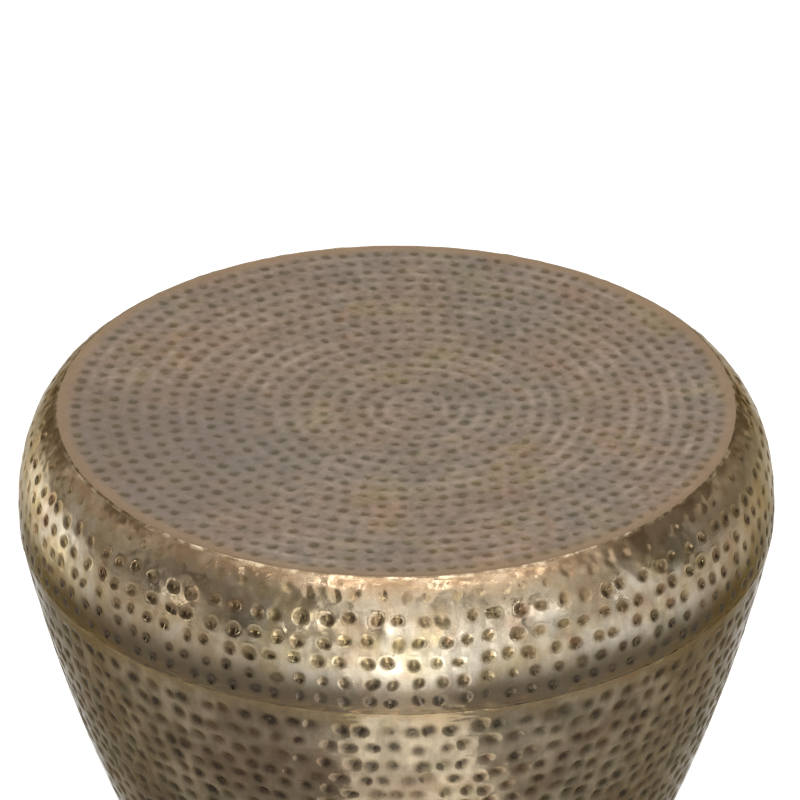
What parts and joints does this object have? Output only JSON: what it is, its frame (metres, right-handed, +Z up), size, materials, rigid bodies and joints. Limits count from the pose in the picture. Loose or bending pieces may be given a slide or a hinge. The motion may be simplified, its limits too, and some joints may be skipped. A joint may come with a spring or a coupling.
{
  "type": "drum side table",
  "caption": "Round drum side table in hammered sheet brass: flat top, rounded shoulder and a convex wall that narrows to rubber glides.",
  "frame": {"origin": "on the floor at the centre of the base", "axes": "+Z up along the drum's axis, -Y towards the front, +X to the right"},
  "size_m": [0.5, 0.5, 0.43],
  "materials": {
    "top_brass": "antique, hammered, waxed",
    "shoulder_brass": "antique, hammered, polished on the high spots",
    "wall_brass": "antique, hammered",
    "inner_steel": "matt black",
    "zinc_steel": "zinc plated",
    "glide_rubber": "moulded"
  },
  "bodies": {
    "root": {"top_disc": "top_brass", "shoulder_band": "shoulder_brass", "wall_front": "wall_brass", "wall_back": "wall_brass", "base_wire": "inner_steel", "joint_hoop": "inner_steel", "side_strip_right": "inner_steel", "side_strip_left": "inner_steel", "top_hoop": "inner_steel", "brace_bar_long": "inner_steel", "brace_bar_cross": "inner_steel", "base_ring": "inner_steel", "glide_front_right": "glide_rubber", "glide_back_right": "glide_rubber", "glide_back_left": "glide_rubber", "glide_front_left": "glide_rubber", "glide_studs": "zinc_steel", "glide_nuts": "zinc_steel"}
  },
  "joints": []
}
